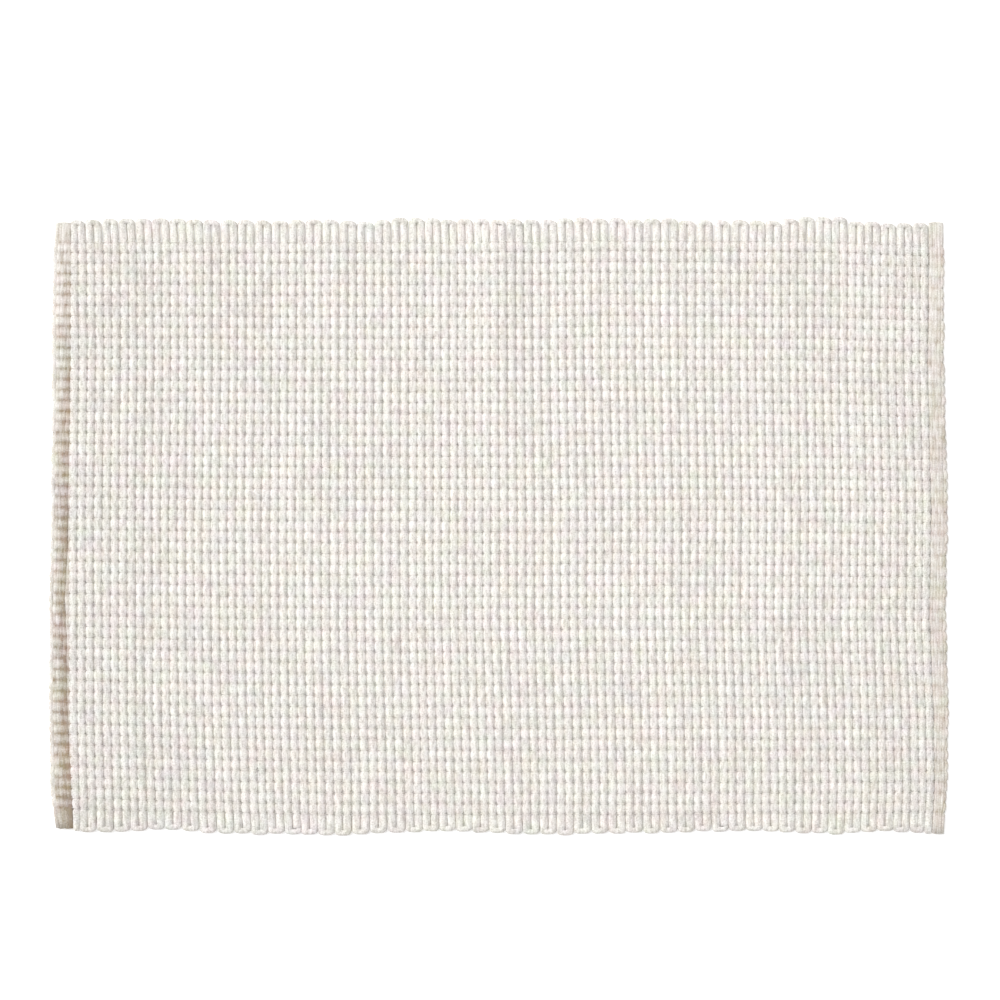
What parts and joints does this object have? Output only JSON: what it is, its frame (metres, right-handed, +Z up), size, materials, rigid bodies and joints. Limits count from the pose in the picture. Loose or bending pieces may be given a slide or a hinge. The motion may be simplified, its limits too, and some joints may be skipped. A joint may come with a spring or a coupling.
{
  "type": "fabric placemat",
  "caption": "Flat rectangular table mat of ribbed cotton: thick off-white cords lie side by side, end in hairpin loops along both long edges, and meet a narrow beige hem at each short end.",
  "frame": {"origin": "under the middle of the mat, on the surface that it lies on", "axes": "+X along the mat from its darker hem to its lighter one, +Y along the cords, +Z up"},
  "size_m": [0.4828, 0.3332, 0.0034],
  "materials": {
    "off_white_cotton": "matte, soft cotton cord",
    "beige_cotton": "matte, finer cotton yarn"
  },
  "bodies": {
    "root": {"placemat": "off_white_cotton"}
  },
  "joints": []
}
